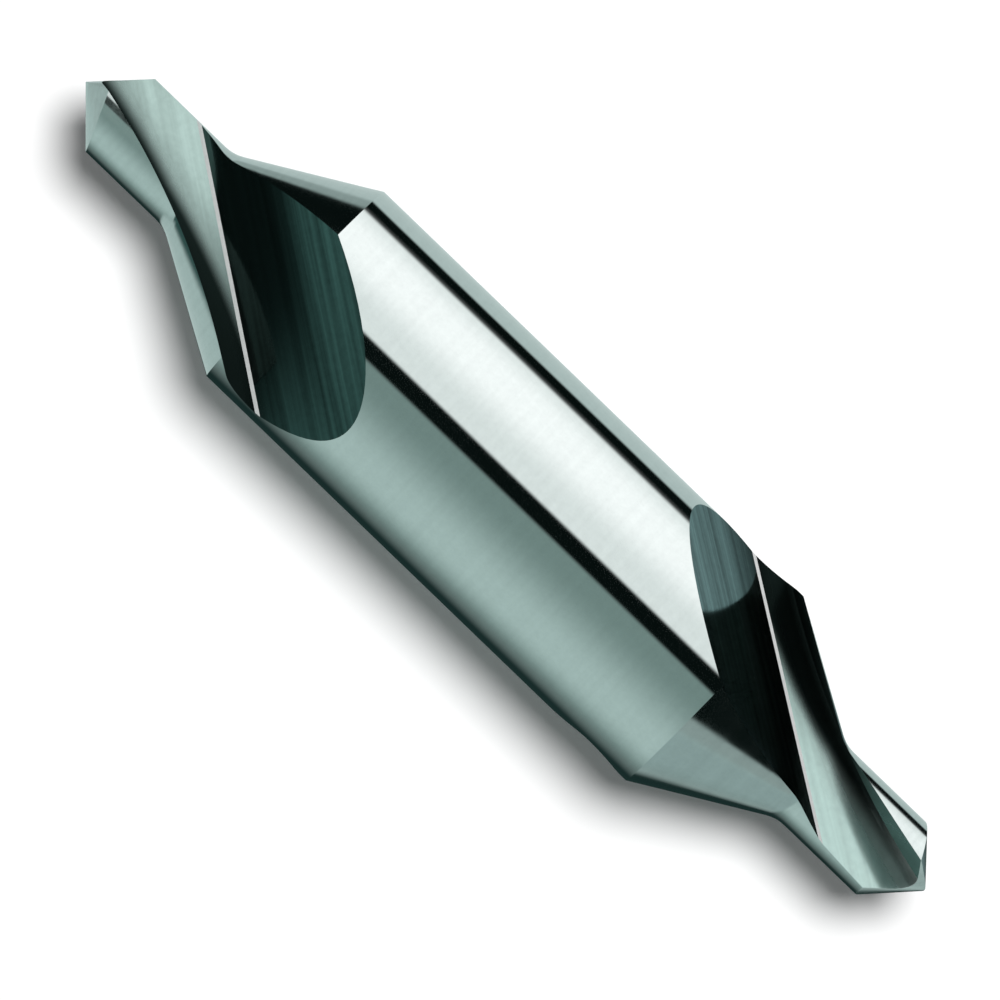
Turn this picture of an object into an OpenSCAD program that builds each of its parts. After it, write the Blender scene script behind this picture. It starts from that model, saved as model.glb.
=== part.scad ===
// Centre drill: a double-ended combined drill and countersink, ground from one bar.
// The axis lies along X, +Z is up, and the origin is the middle of the body.

/* [Body] */
// Diameter of the cylindrical body, which a chuck grips
body_d = 16; // [14.5:0.1:18]
// Length of the body from shoulder to shoulder
body_length = 36.4; // [34:0.1:44]

/* [Countersink] */
// Included angle of the countersink cones
cone_angle = 60; // [56:1:66]
// Radius of the blend between a countersink cone and its pilot drill
root_radius = 2.5; // [0.5:0.1:4]

/* [Pilot drill] */
// Diameter of the pilot drills
pilot_d = 6.3; // [5.6:0.1:7]
// Length of a pilot drill from the end of its cone to its tip
pilot_length = 9.8; // [8.5:0.1:11]
// Included angle of the cones on which the two flanks of a drill point are ground
point_angle = 118; // [112:1:124]
// Tilt of those cones, so that the flanks fall away behind the lips
flank_tilt = 13; // [8:1:16]
// Distance of each cone's own point from the tip, which rounds the chisel edge
flank_offset = 0.8; // [0.4:0.1:1.2]
// Turn of the chisel edge across the web, against the lips
chisel_turn = 10; // [5:1:20]

/* [Flutes] */
// Angle between the corner of a flute and the axis, seen from above
flute_angle = 34.6; // [32:0.2:37]
// Angle at which the floor of a flute climbs out of the body
flute_rise = 6.8; // [5:0.2:8]
// Distance from the shoulder to the place where the corner crosses the axis
flute_cross = 6.8; // [6:0.1:8]
// Thickness of the web between the two flutes, where their corners cross
web = 2.4; // [2:0.1:3]
// Width of the floor from its corner to the rake wall, at that crossing
floor_width = 2.6; // [2.2:0.1:3]
// Slope of the heel wall where it leaves the floor
heel_slope = 30; // [27:1:35]
// Radius of the hollow heel wall, across the flute
heel_radius = 40; // [30:1:80]
// Width of the narrow flat along the corner of floor and heel wall
corner_flat = 0.26; // [0.1:0.02:0.5]
// Angle between the rake wall and the corner, at the crossing
rake_spread = 12.3; // [10:0.1:15]
// Radius of the bowed rake wall, seen from above
rake_radius = 51; // [40:1:80]
// Radius of the hollow between the rake wall and the floor
hollow_radius = 1.3; // [0.6:0.1:2]
// Turn of the second end about the axis, against the first
end_turn = 33; // [0:1:180]

/* [Hidden] */
steel = "lightslategray";
$fn = 96;

body_r = body_d / 2;
pilot_r = pilot_d / 2;
half_cone = cone_angle / 2;
shoulder_x = body_length / 2;
root_x = shoulder_x + (body_r - pilot_r) / tan(half_cone);
tip_x = root_x + pilot_length;

// Length of the blend along the pilot and along the cone, from where they would meet
blend = root_radius * tan(half_cone / 2);

// Angle between the axis and the steepest line of a flank
flank_fall = point_angle / 2 - flank_tilt;

// Reach of the cutting shapes from the crossing, past everything that they cut
reach = body_d + pilot_length;

// Half outline of the ground bar, in X and radius, before the points and flutes are cut
module bar_outline() {
    difference() {
        polygon([
            [0, 0],
            [tip_x, 0],
            [tip_x, pilot_r],
            [root_x + blend, pilot_r],
            [root_x - blend * cos(half_cone), pilot_r + blend * sin(half_cone)],
            [shoulder_x, body_r],
            [0, body_r],
        ]);
        translate([root_x + blend, pilot_r + root_radius])
            circle(root_radius);
    }
}

// The bar, turned to its cones and pilots on both ends
module ground_bar() {
    rotate([0, 90, 0])
        rotate_extrude()
            rotate(-90)
                union() {
                    bar_outline();
                    mirror([1, 0]) bar_outline();
                }
}

// One of the two cones of a drill point, tilted to drop away behind its lip
module flank_cone(side) {
    h = 2 * pilot_length;
    rotate([chisel_turn, 0, 0])
        translate([flank_offset * cos(flank_fall), -side * flank_offset * sin(flank_fall), 0])
            rotate([0, 0, side * flank_tilt])
                rotate([0, -90, 0])
                    cylinder(h = h, r1 = 0, r2 = h * tan(point_angle / 2));
}

// What the wheel takes off the end of a pilot, to leave two lips and a chisel edge
module point_waste() {
    translate([tip_x, 0, 0])
        difference() {
            rotate([0, -90, 0])
                translate([0, 0, -pilot_r])
                    cylinder(h = pilot_r + pilot_d, r = pilot_d);
            intersection() {
                flank_cone(1);
                flank_cone(-1);
            }
        }
}

// Hollow heel wall and corner flat, as a long prism along the corner of the flute
module heel_side() {
    side = corner_flat / (2 * cos(heel_slope / 2));
    rotate([90, 0, 90])
        linear_extrude(2 * reach, center = true)
            intersection() {
                translate([-heel_radius * sin(heel_slope), heel_radius * cos(heel_slope)])
                    circle(heel_radius);
                translate([-side, 0])
                    rotate(heel_slope / 2)
                        translate([-2 * reach, 0])
                            square([4 * reach, 2 * reach]);
            }
}

// Bowed rake wall, hollow and floor, as the inside of a wide ring
module rake_side() {
    r = hollow_radius;
    translate([rake_radius * sin(rake_spread), -floor_width - rake_radius * cos(rake_spread), 0])
        rotate_extrude()
            translate([rake_radius, 0])
                union() {
                    translate([r, 0]) square([2 * reach, 2 * reach]);
                    translate([0, r]) square([2 * r, 2 * reach - r]);
                    translate([r, r]) circle(r);
                }
}

// What the wheel takes out for one flute of the end that points along +X
module flute_waste() {
    translate([shoulder_x + flute_cross, 0, web / 2])
        rotate([0, 0, 180 - flute_angle])
            rotate([0, -flute_rise, 0])
                intersection() {
                    heel_side();
                    rake_side();
                }
}

// Everything that is cut from one end
module end_waste() {
    point_waste();
    flute_waste();
    rotate([180, 0, 0]) flute_waste();
}

module drill() {
    color(steel)
        difference() {
            ground_bar();
            rotate([0, 0, 180]) end_waste();
            rotate([-end_turn, 0, 0]) end_waste();
        }
}

drill();
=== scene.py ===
"""Looks of a centre drill: bright ground tool steel, lying on a pale studio floor."""

from math import acos, atan2, cos, degrees, hypot, pi, radians, sin, tan

import bpy
from bpy.props import FloatProperty, FloatVectorProperty, PointerProperty
from mathutils import Matrix, Vector


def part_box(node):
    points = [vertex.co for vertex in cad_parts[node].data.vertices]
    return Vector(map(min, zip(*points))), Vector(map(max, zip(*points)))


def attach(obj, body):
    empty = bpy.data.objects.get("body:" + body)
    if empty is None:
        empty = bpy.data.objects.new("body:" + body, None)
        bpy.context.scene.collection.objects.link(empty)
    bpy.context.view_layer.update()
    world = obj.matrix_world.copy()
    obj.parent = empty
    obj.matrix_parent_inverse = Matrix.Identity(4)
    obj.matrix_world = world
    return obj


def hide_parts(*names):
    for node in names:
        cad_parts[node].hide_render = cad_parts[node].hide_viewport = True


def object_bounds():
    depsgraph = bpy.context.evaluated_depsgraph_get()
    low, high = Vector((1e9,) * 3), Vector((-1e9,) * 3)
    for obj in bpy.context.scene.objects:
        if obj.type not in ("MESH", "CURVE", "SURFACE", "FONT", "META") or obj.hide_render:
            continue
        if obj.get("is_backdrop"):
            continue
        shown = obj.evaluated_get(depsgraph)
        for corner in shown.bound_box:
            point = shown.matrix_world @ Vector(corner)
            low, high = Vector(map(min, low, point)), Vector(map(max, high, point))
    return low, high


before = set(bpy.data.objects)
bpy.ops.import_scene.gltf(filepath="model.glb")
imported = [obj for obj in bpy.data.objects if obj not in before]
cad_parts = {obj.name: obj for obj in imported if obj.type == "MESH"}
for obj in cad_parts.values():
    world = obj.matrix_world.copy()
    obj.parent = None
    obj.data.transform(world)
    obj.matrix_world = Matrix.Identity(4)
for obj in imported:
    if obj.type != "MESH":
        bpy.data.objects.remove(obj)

bl_info = {
    "name": "Centre drill",
    "version": (1, 0, 0),
    "blender": (4, 5, 0),
    "location": "3D View > Sidebar > Centre drill",
    "description": "Finishes a double-ended centre drill in ground steel and sets it in a studio",
    "category": "Object",
}

MM = 0.001
MICRON = 0.000001
NODE = "drill"
BODY = "root"
CAD_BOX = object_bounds()
NODE_LOW, NODE_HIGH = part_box(NODE)

# The second end points along +X and the first along -X, and each has its flutes and its flanks
ENDS = (1, -1)
FLUTES_PER_END = 2
FLANK_SIDES = (1, -1)

# The faces of a flute, with the finish of each
FLUTE_FINISH = {
    "floor": "floor",
    "flat": "corner",
    "heel": "heel",
    "rake": "rake",
    "hollow": "floor",
}

# Mesh attributes that the steel reads: the place on the grinding lines, and the way from the rake wall's bow,
# which places the painted shade on the floors and rake walls
GRIND = "grind"
RAKE_WAY = "rake_way"

# How a face finds its surface: the distance that counts as one, and the weight of a turned normal
FIT_DISTANCE = 0.1 * MM
FIT_TURN = 20

# A distance past every size of the drill, and one that only keeps a division from failing
FAR_AWAY = 1
TINY = 1e-9

# Cells per metre of the grinding noise along and across its lines, and from one surface to the next
FINE_ALONG = 90
FINE_ACROSS = 9000
BROAD_ALONG = 35
SURFACES_APART = 3000

# Detail and roughness of the noise in the lines, the streaks and the grain, and the grain's cells per metre
FINE_DETAIL = 2.0
BROAD_DETAIL = 3.0
LINE_ROUGHNESS = 0.55
GRAIN_CELLS = 2500.0
GRAIN_DETAIL = 3.0
GRAIN_ROUGHNESS = 0.6

# The stretch of the noise that goes from dark to light, and the factors on the roughness at both
NOISE_LOW = 0.3
NOISE_HIGH = 0.7
DARK_STREAK = 1.2
LIGHT_STREAK = 0.8

# Share of the broad streaks in the relief
BROAD_RELIEF = 0.6

# Width of the camera's sensor, in Blender's millimetres, and the end of its view, in metres
SENSOR_WIDTH = 36
VIEW_END = 10

WHITE = (1, 1, 1)
ROOM = (0.36, 0.44, 0.425)
DARK = (0.003, 0.006, 0.0055)
DIM = (0.05, 0.07, 0.067)
DEEP_TEAL = (0.043, 0.098, 0.09)
END_WHITE = (1.0, 1.05, 1.03)
LOW_GREY = (0.5, 0.6, 0.58)

# Cards and flags of the studio, each laid over the ones before. "round" is its stretch round the axis, in
# degrees from straight up towards +Y, and "along" its stretch along the axis, as the X of its direction.
# A stretch has its low edge, the width of that edge's blur, its high edge and the width of that one's.
STUDIO_CARDS = (
    # Past the ends, on the far side and overhead
    {"round": (18, 10, 74, 12), "along": (-1.2, 0.1, -0.8, 0.08), "colour": END_WHITE},
    {"round": (14, 10, 98, 12), "along": (0.52, 0.1, 1.2, 0.1), "colour": END_WHITE},
    {"round": (-40, 14, 14, 10), "along": (-1.2, 0.1, -0.74, 0.1), "colour": (0.7, 0.78, 0.76)},
    # Below both ends, in halves, because the way round breaks off straight down
    {"round": (142, 20, 190, 10), "along": (-1.2, 0.06, -0.6, 0.06), "colour": LOW_GREY},
    {"round": (-190, 10, -142, 20), "along": (-1.2, 0.06, -0.1, 0.06), "colour": LOW_GREY},
    {"round": (142, 20, 190, 10), "along": (0.46, 0.06, 1.2, 0.06), "colour": LOW_GREY},
    {"round": (-190, 10, -142, 20), "along": (0.5, 0.1, 1.2, 0.06), "colour": LOW_GREY},
    # The broad card on the near side, its lighter middle and its stretch towards the second end
    {"round": (-128, 40, -4.5, 3), "along": (-0.5, 0.05, 0.79, 0.03), "colour": (0.235, 0.328, 0.308)},
    {"round": (-106, 40, -46, 60), "along": (-0.5, 0.05, 0.79, 0.03), "colour": (0.53, 0.667, 0.642)},
    {"round": (-128, 40, -30, 20), "along": (0.42, 0.1, 0.79, 0.03), "colour": (0.37, 0.48, 0.47)},
    # The flag for the first end's heel wall, its lower and its outer stretch, and the card below it
    {"round": (-122, 16, -40, 14), "along": (-0.8, 0.08, -0.51, 0.04), "colour": DARK},
    {"round": (-122, 16, -74, 12), "along": (-0.8, 0.08, -0.51, 0.04), "colour": DEEP_TEAL},
    {"round": (-104, 12, -40, 14), "along": (-0.95, 0.06, -0.747, 0.06), "colour": DEEP_TEAL},
    {"round": (-172, 20, -108, 20), "along": (-0.58, 0.1, -0.14, 0.1), "colour": (0.5, 0.62, 0.6)},
    # Flags overhead, on the far side and low on the near side
    {"round": (-50, 8, 44, 10), "along": (0.79, 0.03, 0.93, 0.05), "colour": DARK},
    {"round": (72, 10, 124, 6), "along": (-0.8, 0.08, 0.14, 0.06), "colour": DARK},
    {"round": (106, 10, 136, 6), "along": (0.1, 0.06, 0.5, 0.08), "colour": DARK},
    {"round": (136, 6, 190, 10), "along": (0.1, 0.06, 0.5, 0.08), "colour": DIM},
    {"round": (-12, 10, 40, 12), "along": (-0.52, 0.1, -0.29, 0.08), "colour": DIM},
    {"round": (-5, 4, 48, 10), "along": (-0.12, 0.06, 0.4, 0.1), "colour": DARK},
    {"round": (40, 10, 104, 6), "along": (0.1, 0.06, 0.44, 0.1), "colour": DARK},
    {"round": (-190, 10, -128, 44), "along": (-0.12, 0.06, 0.4, 0.12), "colour": (0.013, 0.031, 0.029)},
    # The white card for the body, and its brighter middle
    {"round": (11.5, 4, 104, 6), "along": (-0.08, 0.04, 0.08, 0.04), "colour": (1.05, 1.08, 1.07)},
    {"round": (44, 36, 94, 36), "along": (-0.08, 0.04, 0.08, 0.04), "colour": (1.42, 1.4, 1.4)},
    # For the second end's floor, the far edge of the body, the second end's heel wall and the first's floor
    {"round": (46, 10, 104, 10), "along": (0.08, 0.04, 0.268, 0.06), "colour": (0.9, 1.06, 1.02)},
    {"round": (124, 6, 178, 6), "along": (-0.42, 0.06, 0.14, 0.1), "colour": (0.58, 0.68, 0.665)},
    {"round": (125, 24, 165, 10), "along": (0.2, 0.06, 0.54, 0.06), "colour": (0.16, 0.245, 0.25)},
    {"round": (-24, 12, 24, 12), "along": (-0.247, 0.06, -0.09, 0.04), "colour": (0.88, 1.02, 0.98)},
)


def length(name, description, default):
    """A length property, in metres."""
    return FloatProperty(name=name, description=description, default=default, unit="LENGTH", precision=5)


def angle(name, description, default_degrees):
    """An angle property, given in degrees and held in radians."""
    return FloatProperty(
        name=name, description=description, default=radians(default_degrees), subtype="ANGLE"
    )


def colour(name, description, default):
    """A colour property."""
    return FloatVectorProperty(
        name=name, description=description, default=default, subtype="COLOR", min=0, max=1
    )


def share(name, description, default):
    """A property between nothing and one."""
    return FloatProperty(name=name, description=description, default=default, subtype="FACTOR", min=0, max=1)


class DrillShape(bpy.types.PropertyGroup):
    """Surfaces of the drill, so that each one gets its own normals and grinding lines"""

    tip: length("Tip", "Distance of a tip from the middle", NODE_HIGH.x)
    body_radius: length("Body radius", "Radius of the cylindrical body", NODE_HIGH.z)
    shoulder: length("Shoulder", "Distance of a shoulder from the middle", 18.2 * MM)
    half_cone: angle("Cone", "Half angle of a countersink cone", 30)
    root_radius: length("Root radius", "Radius of the blend from cone to pilot", 2.5 * MM)
    pilot_radius: length("Pilot radius", "Radius of a pilot drill", 3.15 * MM)
    half_point: angle("Point", "Half angle of the cones of a drill point", 59)
    flank_tilt: angle("Flank tilt", "Tilt of the flanks behind the lips", 13)
    flank_offset: length("Flank offset", "Distance of a flank cone's point from the tip", 0.8 * MM)
    chisel_turn: angle("Chisel turn", "Turn of the chisel edge against the lips", 10)
    flute_angle: angle("Flute angle", "Angle of a flute's corner to the axis", 34.6)
    flute_rise: angle("Flute rise", "Angle at which a flute climbs out of the body", 6.8)
    flute_cross: length("Crossing", "From the shoulder to where the corner crosses the axis", 6.8 * MM)
    half_web: length("Half web", "Half the web between the flutes at the crossing", 1.2 * MM)
    floor_width: length("Floor width", "From the corner to the rake wall at the crossing", 2.6 * MM)
    heel_slope: angle("Heel slope", "Slope of the heel wall where it leaves the corner", 30)
    heel_radius: length("Heel radius", "Radius of the hollow heel wall", 40 * MM)
    corner_flat: length("Corner flat", "Width of the flat along the corner", 0.26 * MM)
    rake_spread: angle("Rake spread", "Angle between the rake wall and the corner", 12.3)
    rake_radius: length("Rake radius", "Radius of the bowed rake wall", 51 * MM)
    hollow_radius: length("Hollow radius", "Radius of the hollow under the rake wall", 1.3 * MM)
    end_turn: angle("End turn", "Turn of the second end against the first", 33)
    floor_bow: length("Floor bow", "Radius of the slight hollow of the floors along the flutes", 120 * MM)
    heel_bow: length("Heel bow", "Radius of the slight hollow of the heel walls along the flutes", 200 * MM)
    corner_glint: angle("Corner glint", "Lean of the corner flats' gloss away from the heel", 10)
    # Painted shade: the floors are painted dark in a strip beside the rake walls, which grows towards the
    # shoulder
    painted_shade_to: length("Shaded to", "Distance from the rake wall up to which the floor is dull", 0.27 * MM)
    bright_from: length("Bright from", "Distance from the rake wall at which the floor is bright", 1.25 * MM)
    painted_shade_spread: FloatProperty(
        name="Shaded spread",
        description="Growth of the dull strip towards the shoulder, over its length",
        default=0.1,
    )
    spread_first: length(
        "Spread, first end", "Place along the first end's flutes where that growth starts", -2 * MM
    )
    spread_second: length(
        "Spread, second end", "Place along the second end's flutes where that growth starts", -8 * MM
    )
    rough_to: length("Rough to", "Distance from the rake wall up to which the floor is rough", 0.3 * MM)
    smooth_from: length("Smooth from", "Distance from the rake wall at which the floor is smooth", 2.4 * MM)
    # Painted shade: the rake walls are painted darker between these places along the flute
    deep_from: length("Deep from", "Place along the flute where the rake wall starts to darken", -6 * MM)
    deep_to: length("Deep to", "Place along the flute from which on the rake wall is dark", 1 * MM)


class SteelFinish(bpy.types.PropertyGroup):
    """Colours and polish of the ground steel, with the colours of the painted shade on the rake walls and
    floors
    """

    body: colour("Body", "Colour of the ground cylinder", (0.63, 0.685, 0.675))
    cone: colour("Cones", "Colour of the cones and pilots", (0.60, 0.66, 0.65))
    flute: colour("Flutes", "Colour of the floors and heel walls", (0.52, 0.60, 0.585))
    # Painted shade: the rake walls are painted darker than the floors, and darker still towards the shoulder,
    # and the floors' strips beside them take that darkest colour
    rake_tip_painted_shade: colour("Rake walls", "Colour of the rake walls towards the tip", (0.15, 0.24, 0.225))
    painted_deep_shade: colour(
        "Deep rake walls",
        "Colour of the rake walls towards the shoulder, and of the dull strip",
        (0.02, 0.03, 0.028),
    )
    corner: colour("Corners", "Colour of the flats along the corners of the flutes", (0.63, 0.63, 0.63))
    point: colour("Points", "Colour of the drill points", (0.60, 0.67, 0.66))
    body_roughness: share("Body roughness", "Roughness of the cylinder", 0.06)
    cone_roughness: share("Cone roughness", "Roughness of the cones and pilots", 0.1)
    flute_roughness: share("Flute roughness", "Roughness of the floors", 0.13)
    heel_roughness: share("Heel roughness", "Roughness of the heel walls", 0.085)
    rake_roughness: share("Rake roughness", "Roughness of the rake walls and of the floors beside them", 0.3)
    point_roughness: share("Point roughness", "Roughness of the points and of the corner flats", 0.2)


class StudioLook(bpy.types.PropertyGroup):
    """Camera, floor and light"""

    camera_height: length("Camera height", "Height of the camera over the axis", 0.6)
    frame_width: length("Frame width", "Width of the picture at the axis", 62.5 * MM)
    camera_turn: angle("Camera turn", "Turn of the picture against the axis", 43.95)
    aim_x: length("Aim X", "Middle of the picture, along the axis", 0.375 * MM)
    aim_y: length("Aim Y", "Middle of the picture, across the axis", -0.84 * MM)
    floor_half: length("Floor half", "Half the width of the floor", 1.5)
    floor_colour: colour("Floor", "Colour of the floor", (0.92, 0.92, 0.92))
    floor_roughness: share("Floor roughness", "Roughness of the floor", 0.9)
    key_power: FloatProperty(name="Key light", description="Power of the lamp", default=4.0, unit="POWER")
    key_size: length("Key size", "Width of the lamp", 0.24)
    key_place: FloatVectorProperty(
        name="Key place",
        description="Place of the lamp",
        default=(0.02, 0.16, 0.58),
        subtype="TRANSLATION",
        unit="LENGTH",
    )
    fill: share("Fill", "Strength of the light from all round", 0.18)


def unit(x, y, z):
    """A vector of length one."""
    return Vector((x, y, z)).normalized()


def end_matrix(shape, end):
    """Places an end that is described along +X."""
    if end > 0:
        return Matrix.Rotation(-shape.end_turn, 4, "X")
    return Matrix.Rotation(pi, 4, "Z")


def flute_matrix(shape, end, number):
    """Places a flute's own axes, with the origin where its corner crosses the axis."""
    crossing = Matrix.Translation((shape.shoulder + shape.flute_cross, 0, shape.half_web))
    heading = Matrix.Rotation(pi - shape.flute_angle, 4, "Z") @ Matrix.Rotation(-shape.flute_rise, 4, "Y")
    turn = Matrix.Rotation(number * 2 * pi / FLUTES_PER_END, 4, "X")
    return end_matrix(shape, end) @ turn @ crossing @ heading


def bow_middle(shape):
    """Middle of the rake wall's bow, in the X and Y of the flute's own axes."""
    x = shape.rake_radius * sin(shape.rake_spread)
    y = -shape.floor_width - shape.rake_radius * cos(shape.rake_spread)
    return x, y


class Surface:
    """A surface of the drill, with its finish. Each kind adds at, for distance and normal, and lay."""

    def __init__(self, finish, shape):
        """Keeps the finish and the drill's sizes."""
        self.finish = finish
        self.shape = shape

    def gloss(self, point):
        """The normal that the gloss follows, which is the true one."""
        return self.at(point)[1]

    def rake_way(self, point):
        """Nothing, because only the faces of a flute lie beside a rake wall."""
        return Vector()


class Turned(Surface):
    """A surface of the turned bar: the body, a cone, a blend or a pilot."""

    def __init__(self, part, finish, shape, end=0):
        """The part of the bar, and the end that it is on, or 0 for both."""
        super().__init__(finish, shape)
        self.part = part
        self.end = end
        self.root = shape.shoulder + (shape.body_radius - shape.pilot_radius) / tan(shape.half_cone)

    def profile(self, point):
        """Distance from the surface, and the normal's parts along the axis and outwards."""
        shape = self.shape
        x = abs(point.x)
        radius = hypot(point.y, point.z)
        if self.part == "body":
            return radius - shape.body_radius, 0, 1
        if self.part == "pilot":
            return radius - shape.pilot_radius, 0, 1
        if self.part == "cone":
            axial = sin(shape.half_cone)
            outward = cos(shape.half_cone)
            away = (radius - shape.body_radius) * outward + (x - shape.shoulder) * axial
            return away, axial, outward
        mid_x = self.root + shape.root_radius * tan(shape.half_cone / 2)
        mid_radius = shape.pilot_radius + shape.root_radius
        far = hypot(mid_x - x, mid_radius - radius)
        return shape.root_radius - far, (mid_x - x) / far, (mid_radius - radius) / far

    def at(self, point):
        """Distance of a point from the surface, and the surface's normal there."""
        away, axial, outward = self.profile(point)
        side = 1 if point.x > 0 else -1
        if self.end and side != self.end:
            away = FAR_AWAY
        radius = max(hypot(point.y, point.z), TINY)
        return away, unit(axial * side, outward * point.y / radius, outward * point.z / radius)

    def lay(self, point):
        """Place along and across the grinding lines, which run round the axis."""
        radius = hypot(point.y, point.z)
        return atan2(point.y, point.z) * self.shape.body_radius, point.x / cos(self.shape.half_cone) + radius


class Flank(Surface):
    """One ground flank of a drill point, on a tilted cone."""

    def __init__(self, finish, shape, end, side):
        """The end that the point is on, and which of its two sides the flank is on, as 1 or -1."""
        super().__init__(finish, shape)
        fall = shape.half_point - shape.flank_tilt
        near = Matrix.Translation((shape.tip, 0, 0)) @ Matrix.Rotation(shape.chisel_turn, 4, "X")
        place = end_matrix(shape, end) @ near
        off = shape.flank_offset
        self.apex = place @ Vector((off * cos(fall), -side * off * sin(fall), 0))
        turn = Matrix.Rotation(side * shape.flank_tilt, 3, "Z")
        self.axis = place.to_3x3() @ (turn @ Vector((-1, 0, 0)))
        self.across = place.to_3x3() @ Vector((0, 0, 1))

    def at(self, point):
        """Distance of a point from the cone, and the cone's normal there."""
        half = self.shape.half_point
        way = point - self.apex
        out = way.normalized()
        normal = (out * cos(half) - self.axis).normalized()
        away = way.length * sin(acos(max(-1, min(1, out.dot(self.axis)))) - half)
        return away, normal

    def lay(self, point):
        """Place along and across the grinding lines, which run down the cone."""
        way = point - self.apex
        return way.dot(self.axis), way.dot(self.across)


class FluteFace(Surface):
    """One face of a flute: its floor, corner flat, heel wall, rake wall or the hollow below that wall."""

    def __init__(self, part, finish, shape, end, place):
        """The face's name, the end that it is on, and the matrix that places the flute's own axes."""
        super().__init__(finish, shape)
        self.part = part
        self.spread_from = shape.spread_second if end > 0 else shape.spread_first
        self.place = place.to_3x3()
        self.inverse = place.inverted()
        self.heel_y = -shape.heel_radius * sin(shape.heel_slope)
        self.heel_z = shape.heel_radius * cos(shape.heel_slope)
        self.bow_x, self.bow_y = bow_middle(shape)

    def out_of_bow(self, spot):
        """Way from the middle of the rake wall's bow, in the flute's own axes."""
        return Vector((spot.x - self.bow_x, spot.y - self.bow_y, 0))

    def local(self, spot):
        """Distance and normal in the flute's own axes: X along the corner, Y to the heel, Z up."""
        shape = self.shape
        if self.part == "floor":
            return spot.z, Vector((0, 0, 1))
        if self.part == "flat":
            lean = shape.heel_slope / 2
            side = shape.corner_flat / (2 * cos(lean))
            normal = Vector((0, -sin(lean), cos(lean)))
            return (spot + Vector((0, side, 0))).dot(normal), normal
        if self.part == "heel":
            to_mid = Vector((0, self.heel_y - spot.y, self.heel_z - spot.z))
            return shape.heel_radius - to_mid.length, to_mid.normalized()
        out = self.out_of_bow(spot)
        if self.part == "rake":
            return out.length - shape.rake_radius, out.normalized()
        ring = out.normalized() * (shape.rake_radius + shape.hollow_radius)
        to_mid = Vector((self.bow_x, self.bow_y, shape.hollow_radius)) + ring - spot
        return shape.hollow_radius - to_mid.length, to_mid.normalized()

    def at(self, point):
        """Distance of a point from the face, and the face's normal there."""
        away, normal = self.local(self.inverse @ point)
        return away, self.place @ normal

    def gloss(self, point):
        """The normal that the gloss follows: floors and heels are bowed, and corner flats lean."""
        shape = self.shape
        spot = self.inverse @ point
        if self.part in ("floor", "hollow"):
            return self.place @ unit(-spot.x / shape.floor_bow, 0, 1)
        if self.part == "flat":
            return self.place @ Vector((0, sin(shape.corner_glint), cos(shape.corner_glint)))
        if self.part == "heel":
            bowed = self.local(spot)[1] - Vector((spot.x / shape.heel_bow, 0, 0))
            return self.place @ bowed.normalized()
        return super().gloss(point)

    def rake_way(self, point):
        """Way from the middle of the rake wall's bow, and where along it the strip of painted shade starts to
        grow.
        """
        out = self.out_of_bow(self.inverse @ point)
        return Vector((out.x, out.y, self.spread_from - self.bow_x))

    def lay(self, point):
        """Place along and across the grinding lines, which run along the corner."""
        spot = self.inverse @ point
        far = hypot(spot.y, spot.z)
        return spot.x, far if spot.y > 0 else spot.z - far


def drill_surfaces(shape):
    """Every surface of the drill, with the finish that it has."""
    found = [Turned("body", "body", shape)]
    for end in ENDS:
        for part in ("cone", "blend", "pilot"):
            found.append(Turned(part, "cone", shape, end))
        for side in FLANK_SIDES:
            found.append(Flank("point", shape, end, side))
        for number in range(FLUTES_PER_END):
            place = flute_matrix(shape, end, number)
            for part, finish in FLUTE_FINISH.items():
                found.append(FluteFace(part, finish, shape, end, place))
    return found


def misfit(surface, face):
    """How badly a small face fits a surface, from its distance and the turn of its normal."""
    away, normal = surface.at(face.center)
    return abs(away) / FIT_DISTANCE + (1 - normal.dot(face.normal)) * FIT_TURN


def finish_mesh(mesh, surfaces, finishes):
    """Gives each face its finish, its normals and its place on the grinding lines."""
    mesh.shade_smooth()
    mesh.attributes.new(GRIND, "FLOAT_VECTOR", "CORNER")
    mesh.attributes.new(RAKE_WAY, "FLOAT_VECTOR", "CORNER")
    grind = mesh.attributes[GRIND]
    rake_way = mesh.attributes[RAKE_WAY]
    normals = [None] * len(mesh.loops)
    for face in mesh.polygons:
        misfits = [misfit(surface, face) for surface in surfaces]
        number = misfits.index(min(misfits))
        surface = surfaces[number]
        face.material_index = finishes.index(surface.finish)
        for corner in face.loop_indices:
            point = mesh.vertices[mesh.loops[corner].vertex_index].co
            normals[corner] = surface.gloss(point)
            along, across = surface.lay(point)
            grind.data[corner].vector = (along, across, number * MM)
            rake_way.data[corner].vector = surface.rake_way(point)
    mesh.normals_split_custom_set(normals)


def opaque(tint):
    """A colour with full cover, as the shader sockets take it."""
    return (*tint, 1)


def add_node(tree, kind, inputs=None, **settings):
    """A shader node with its settings, and values or links for its inputs."""
    node = tree.nodes.new(kind)
    for key, value in settings.items():
        setattr(node, key, value)
    for key, value in (inputs or {}).items():
        if isinstance(value, bpy.types.NodeSocket):
            tree.links.new(value, node.inputs[key])
        else:
            node.inputs[key].default_value = value
    return node


def calculate(tree, operation, *values):
    """One step of arithmetic."""
    return add_node(tree, "ShaderNodeMath", dict(enumerate(values)), operation=operation).outputs[0]


def mix_values(tree, amount, first, second):
    """From the first value to the second, by an amount."""
    return add_node(tree, "ShaderNodeMix", {0: amount, 2: first, 3: second}, data_type="FLOAT").outputs[0]


def mix_colours(tree, amount, first, second):
    """From the first colour to the second, by an amount."""
    return add_node(tree, "ShaderNodeMix", {0: amount, 6: first, 7: second}, data_type="RGBA").outputs[2]


def ramp(tree, value, start, end):
    """Nothing at the start of a band of values, one at its end, and a smooth way between."""
    band = {"Value": value, "From Min": start, "From Max": end}
    return add_node(tree, "ShaderNodeMapRange", band, interpolation_type="SMOOTHSTEP").outputs[0]


def noise(tree, place, cells, detail, roughness):
    """Plain noise."""
    inputs = {"Vector": place, "Scale": cells, "Detail": detail, "Roughness": roughness}
    return add_node(tree, "ShaderNodeTexNoise", inputs).outputs[0]


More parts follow.
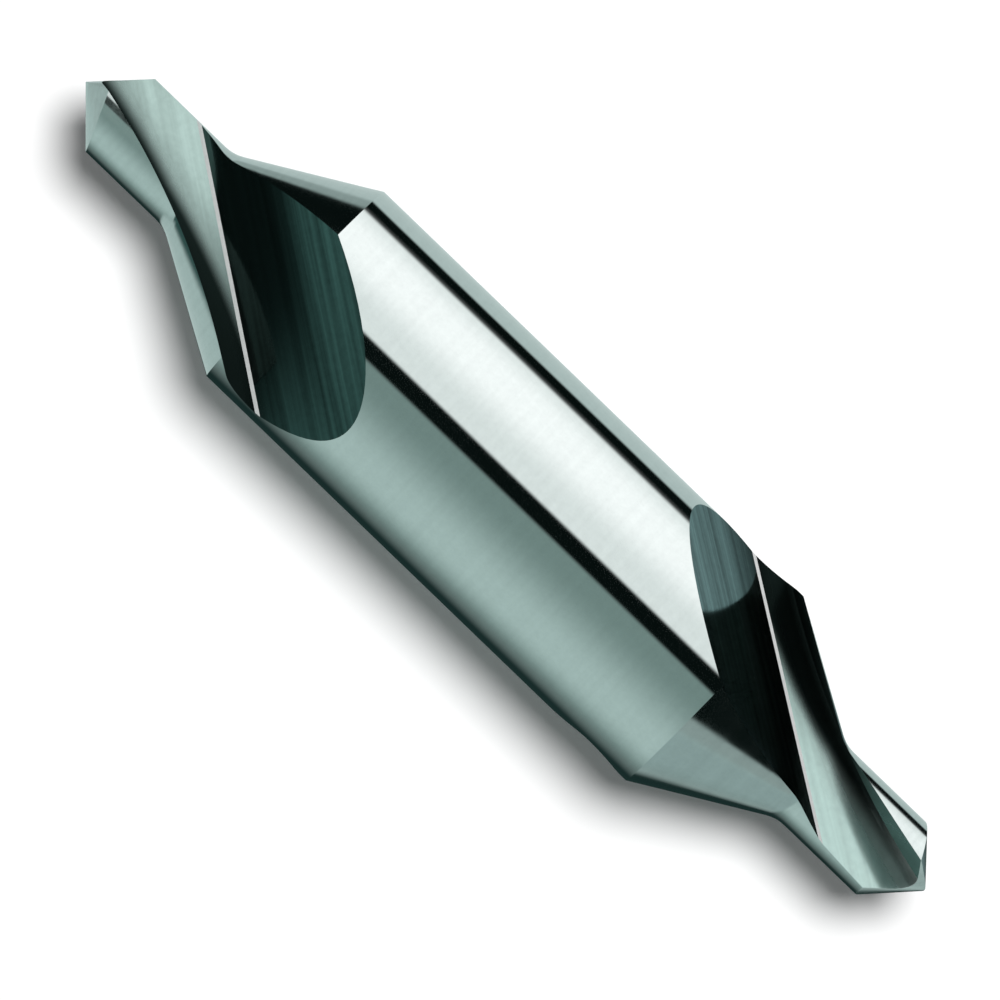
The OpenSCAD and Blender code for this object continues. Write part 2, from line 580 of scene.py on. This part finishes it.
def line_noise(tree, grind, along, across, detail):
    """Noise drawn out along the grinding lines."""
    cells = {0: grind, 1: (along, across, SURFACES_APART)}
    place = add_node(tree, "ShaderNodeVectorMath", cells, operation="MULTIPLY").outputs[0]
    return noise(tree, place, 1.0, detail, LINE_ROUGHNESS)


def spread_noise(tree, value, low, high):
    """The middle stretch of a noise, drawn out between two values."""
    stretch = {"Value": value, "From Min": NOISE_LOW, "From Max": NOISE_HIGH, "To Min": low, "To Max": high}
    return add_node(tree, "ShaderNodeMapRange", stretch).outputs[0]


def ground_steel(name, tint, roughness, streaks, depth, contrast, grain):
    """Ground steel: fine lines left by the wheel, broader streaks and a slight grain.

    The streaks are counted per metre across the lines, and depth is the depth of the relief in metres.
    Contrast is the share by which the streaks change the tint, and grain the share of grain in them.
    """
    material = bpy.data.materials.new(name)
    material.use_nodes = True
    tree = material.node_tree
    shader = tree.nodes["Principled BSDF"]
    shader.inputs["Metallic"].default_value = 1.0
    grind = add_node(tree, "ShaderNodeAttribute", attribute_name=GRIND).outputs["Vector"]
    place = add_node(tree, "ShaderNodeTexCoord").outputs["Object"]
    fine = line_noise(tree, grind, FINE_ALONG, FINE_ACROSS, FINE_DETAIL)
    broad = line_noise(tree, grind, BROAD_ALONG, streaks, BROAD_DETAIL)
    cloud = noise(tree, place, GRAIN_CELLS, GRAIN_DETAIL, GRAIN_ROUGHNESS)
    streak = mix_values(tree, grain, broad, cloud)
    dark = opaque([part * (1 - contrast) for part in tint])
    light = opaque([min(1, part * (1 + contrast)) for part in tint])
    base = mix_colours(tree, spread_noise(tree, streak, 0, 1), dark, light)
    tree.links.new(base, shader.inputs["Base Color"])
    polish = spread_noise(tree, streak, roughness * DARK_STREAK, roughness * LIGHT_STREAK)
    tree.links.new(polish, shader.inputs["Roughness"])
    relief = mix_values(tree, BROAD_RELIEF, fine, broad)
    bump = add_node(tree, "ShaderNodeBump", {"Height": relief, "Strength": 1.0, "Distance": depth})
    tree.links.new(bump.outputs[0], shader.inputs["Normal"])
    return material


def read_rake_way(tree):
    """Ways along and across the flute from the middle of its bow, and where the strip of painted shade starts
    to grow.
    """
    way = add_node(tree, "ShaderNodeAttribute", attribute_name=RAKE_WAY).outputs["Vector"]
    return add_node(tree, "ShaderNodeSeparateXYZ", {0: way}).outputs


def paint_shade_colour(material, bright, shaded):
    """Paints shade: leads the colour of a material over to a dark one where it is not bright."""
    tree = material.node_tree
    socket = tree.nodes["Principled BSDF"].inputs["Base Color"]
    mixed = mix_colours(tree, bright, opaque(shaded), socket.links[0].from_socket)
    tree.links.new(mixed, socket)


def dull_polish(material, smooth, rough):
    """Leads the roughness of a material over to a higher one where it is not smooth."""
    tree = material.node_tree
    socket = tree.nodes["Principled BSDF"].inputs["Roughness"]
    mixed = mix_values(tree, smooth, rough, socket.links[0].from_socket)
    tree.links.new(mixed, socket)


def paint_shade_and_roughen_floor(material, shape, steel):
    """Paints shade on a floor in a strip beside its rake wall, which grows towards the shoulder, and makes
    the floor rougher beside that wall.
    """
    tree = material.node_tree
    along, across, start = read_rake_way(tree)
    flat = add_node(tree, "ShaderNodeCombineXYZ", {0: along, 1: across}).outputs[0]
    far = add_node(tree, "ShaderNodeVectorMath", {0: flat}, operation="LENGTH").outputs["Value"]
    grown = calculate(tree, "MAXIMUM", along, start)
    slanted = calculate(tree, "MULTIPLY_ADD", grown, -shape.painted_shade_spread, far)
    wall = shape.rake_radius
    edge = wall + shape.painted_shade_spread * bow_middle(shape)[0]
    bright = ramp(tree, slanted, edge + shape.painted_shade_to, edge + shape.bright_from)
    paint_shade_colour(material, bright, steel.painted_deep_shade)
    smooth = ramp(tree, far, wall + shape.rough_to, wall + shape.smooth_from)
    dull_polish(material, smooth, steel.rake_roughness)


def paint_rake_shade(material, shape, steel):
    """Paints shade on a rake wall, darker from the tip towards the shoulder."""
    tree = material.node_tree
    along = read_rake_way(tree)[0]
    bow_x = bow_middle(shape)[0]
    bright = ramp(tree, along, shape.deep_to - bow_x, shape.deep_from - bow_x)
    paint_shade_colour(material, bright, steel.painted_deep_shade)


def ground_finishes(steel):
    """The ground steel of every finish, by its name."""
    return {
        "body": ground_steel(
            "ground_body", steel.body, steel.body_roughness,
            streaks=1500, depth=0.06 * MICRON, contrast=0.05, grain=0.5,
        ),
        "cone": ground_steel(
            "ground_cone", steel.cone, steel.cone_roughness,
            streaks=1800, depth=0.4 * MICRON, contrast=0.06, grain=0.4,
        ),
        "floor": ground_steel(
            "ground_floor", steel.flute, steel.flute_roughness,
            streaks=1600, depth=0.6 * MICRON, contrast=0.1, grain=0.3,
        ),
        # The rake walls' dark colour is painted shade
        "rake": ground_steel(
            "ground_rake", steel.rake_tip_painted_shade, steel.rake_roughness,
            streaks=1600, depth=0.6 * MICRON, contrast=0.1, grain=0.3,
        ),
        "heel": ground_steel(
            "ground_heel", steel.flute, steel.heel_roughness,
            streaks=1700, depth=2.5 * MICRON, contrast=0.5, grain=0.15,
        ),
        "corner": ground_steel(
            "ground_corner", steel.corner, steel.point_roughness,
            streaks=2200, depth=0.4 * MICRON, contrast=0.03, grain=0.4,
        ),
        "point": ground_steel(
            "ground_point", steel.point, steel.point_roughness,
            streaks=2000, depth=0.6 * MICRON, contrast=0.08, grain=0.4,
        ),
    }


class CENTRE_DRILL_OT_finish_steel(bpy.types.Operator):
    """Finish the drill in ground steel, with the lines that each wheel leaves"""

    bl_idname = "centre_drill.finish_steel"
    bl_label = "Finish the steel"

    def execute(self, context):
        """Dresses a copy of the solid's mesh, which stands for the solid."""
        shape = context.scene.drill_shape
        steel = context.scene.steel_finish
        finishes = ground_finishes(steel)
        # Painted shade: dark strips on the floors beside the rake walls, and rake walls painted darker
        # towards the shoulder
        paint_shade_and_roughen_floor(finishes["floor"], shape, steel)
        paint_rake_shade(finishes["rake"], shape, steel)
        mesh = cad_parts[NODE].data.copy()
        mesh.name = "drill_steel"
        mesh.materials.clear()
        for material in finishes.values():
            mesh.materials.append(material)
        piece = bpy.data.objects.new("drill_steel", mesh)
        context.collection.objects.link(piece)
        finish_mesh(mesh, drill_surfaces(shape), list(finishes))
        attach(piece, BODY)
        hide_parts(NODE)
        return {"FINISHED"}


def add_camera(look):
    """A long lens straight over the drill, with the axis across the picture from corner to corner."""
    right = Vector((cos(look.camera_turn), sin(look.camera_turn), 0))
    up = Vector((-sin(look.camera_turn), cos(look.camera_turn), 0))
    data = bpy.data.cameras.new("camera")
    data.sensor_width = SENSOR_WIDTH
    data.lens = SENSOR_WIDTH * look.camera_height / look.frame_width
    data.clip_end = VIEW_END
    camera = bpy.data.objects.new("camera", data)
    bpy.context.collection.objects.link(camera)
    place = Matrix((right, up, right.cross(up))).transposed().to_4x4()
    place.translation = Vector((look.aim_x, look.aim_y, look.camera_height))
    camera.matrix_world = place
    bpy.context.scene.camera = camera


def pale_floor(look):
    """The floor's material, without any gloss."""
    material = bpy.data.materials.new("floor")
    material.use_nodes = True
    shader = material.node_tree.nodes["Principled BSDF"]
    shader.inputs["Base Color"].default_value = opaque(look.floor_colour)
    shader.inputs["Roughness"].default_value = look.floor_roughness
    shader.inputs["Specular IOR Level"].default_value = 0.0
    return material


def add_floor(look):
    """A wide pale floor, which the body lies on and the steel doesn't mirror."""
    half = look.floor_half
    low = NODE_LOW.z
    mesh = bpy.data.meshes.new("floor")
    corners = [(-half, -half, low), (half, -half, low), (half, half, low), (-half, half, low)]
    mesh.from_pydata(corners, [], [(0, 1, 2, 3)])
    mesh.materials.append(pale_floor(look))
    floor = bpy.data.objects.new("floor", mesh)
    bpy.context.collection.objects.link(floor)
    floor.visible_glossy = False
    floor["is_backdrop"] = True


def add_key(look):
    """A soft lamp, high on the far side, which throws the shadow to the near side."""
    data = bpy.data.lights.new("key", "AREA")
    data.shape = "DISK"
    data.size = look.key_size
    data.energy = look.key_power
    lamp = bpy.data.objects.new("key", data)
    bpy.context.collection.objects.link(lamp)
    lamp.location = look.key_place
    lamp.rotation_euler = lamp.location.to_track_quat("Z", "Y").to_euler()
    lamp.visible_glossy = False


def within(tree, value, low, low_blur, high, high_blur):
    """One between two blurred edges, and nothing outside them."""
    above = ramp(tree, value, low - low_blur / 2, low + low_blur / 2)
    below = ramp(tree, value, high + high_blur / 2, high - high_blur / 2)
    return calculate(tree, "MULTIPLY", above, below)


def add_studio_cards(look):
    """The studio that the steel mirrors, and an even white fill for all other light."""
    world = bpy.data.worlds.new("studio")
    bpy.context.scene.world = world
    world.use_nodes = True
    tree = world.node_tree
    tree.nodes.clear()
    way = add_node(tree, "ShaderNodeTexCoord").outputs["Generated"]
    x, y, z = add_node(tree, "ShaderNodeSeparateXYZ", {0: way}).outputs
    round_axis = calculate(tree, "MULTIPLY", calculate(tree, "ARCTAN2", y, z), degrees(1))
    seen = opaque(ROOM)
    for card in STUDIO_CARDS:
        across = within(tree, round_axis, *card["round"])
        along = within(tree, x, *card["along"])
        cover = calculate(tree, "MULTIPLY", across, along)
        seen = mix_colours(tree, cover, seen, opaque(card["colour"]))
    mirrored = add_node(tree, "ShaderNodeBackground", {0: seen, 1: 1.0}).outputs[0]
    fill = add_node(tree, "ShaderNodeBackground", {0: opaque(WHITE), 1: look.fill}).outputs[0]
    glossy = add_node(tree, "ShaderNodeLightPath").outputs["Is Glossy Ray"]
    light = add_node(tree, "ShaderNodeMixShader", {0: glossy, 1: fill, 2: mirrored}).outputs[0]
    add_node(tree, "ShaderNodeOutputWorld", {0: light})


class CENTRE_DRILL_OT_build_studio(bpy.types.Operator):
    """Set up the camera, the pale floor and the studio light"""

    bl_idname = "centre_drill.build_studio"
    bl_label = "Build the studio"

    def execute(self, context):
        """Adds the stage, and shows colours as they are."""
        look = context.scene.studio_look
        add_camera(look)
        add_floor(look)
        add_key(look)
        add_studio_cards(look)
        context.scene.view_settings.view_transform = "Standard"
        return {"FINISHED"}


class CENTRE_DRILL_PT_panel(bpy.types.Panel):
    """Lists the steps that dress the centre drill, and the values that they use"""

    bl_idname = "CENTRE_DRILL_PT_panel"
    bl_label = "Centre drill"
    bl_space_type = "VIEW_3D"
    bl_region_type = "UI"
    bl_category = "Centre drill"

    def draw(self, context):
        """A button for each step, and a box for each group of values."""
        layout = self.layout
        for operator in (CENTRE_DRILL_OT_build_studio, CENTRE_DRILL_OT_finish_steel):
            layout.operator(operator.bl_idname)
        for group in (context.scene.steel_finish, context.scene.studio_look, context.scene.drill_shape):
            box = layout.box()
            for name in group.__annotations__:
                box.prop(group, name)


CLASSES = (
    DrillShape,
    SteelFinish,
    StudioLook,
    CENTRE_DRILL_OT_finish_steel,
    CENTRE_DRILL_OT_build_studio,
    CENTRE_DRILL_PT_panel,
)


def register():
    """Makes the classes known to Blender, and gives each scene the groups of values."""
    for item in CLASSES:
        bpy.utils.register_class(item)
    bpy.types.Scene.drill_shape = PointerProperty(type=DrillShape)
    bpy.types.Scene.steel_finish = PointerProperty(type=SteelFinish)
    bpy.types.Scene.studio_look = PointerProperty(type=StudioLook)


def unregister():
    """Takes back what register did."""
    del bpy.types.Scene.studio_look
    del bpy.types.Scene.steel_finish
    del bpy.types.Scene.drill_shape
    for item in reversed(CLASSES):
        bpy.utils.unregister_class(item)


def main():
    """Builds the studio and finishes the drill."""
    register()
    bpy.ops.centre_drill.build_studio()
    bpy.ops.centre_drill.finish_steel()
    boxes = {"cad": CAD_BOX, "visual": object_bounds()}
    plain = {name: [list(corner) for corner in box] for name, box in boxes.items()}


if __name__ == "__main__":
    main()
